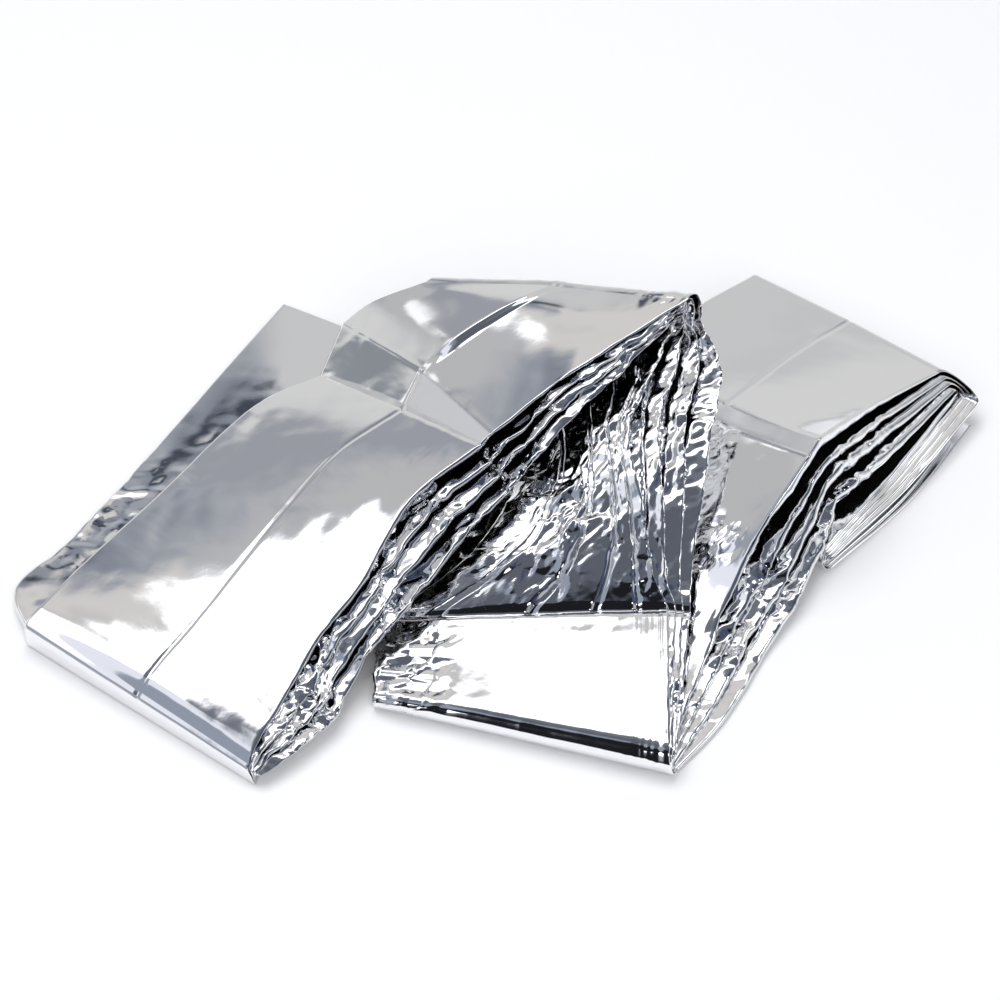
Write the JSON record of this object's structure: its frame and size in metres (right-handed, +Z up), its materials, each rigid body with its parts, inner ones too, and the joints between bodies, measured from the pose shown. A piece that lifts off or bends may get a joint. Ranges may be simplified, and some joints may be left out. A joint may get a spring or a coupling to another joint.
{
  "type": "emergency foil blanket",
  "caption": "Thin metallised film blanket, folded lengthwise into a narrow strip and laid in a loose zigzag with a raised roof-like fold; opens out to cover a person.",
  "frame": {"origin": "centre of the bounding box at its underside, on the surface it lies on", "axes": "+Z up; the folded strip lies with its longer way along X, its near folds towards -Y"},
  "size_m": [0.5886, 0.4366, 0.0965],
  "materials": {
    "film": "mirror-bright metallised plastic film, finely creased"
  },
  "bodies": {
    "root": {"foil_blanket": "film"}
  },
  "joints": []
}
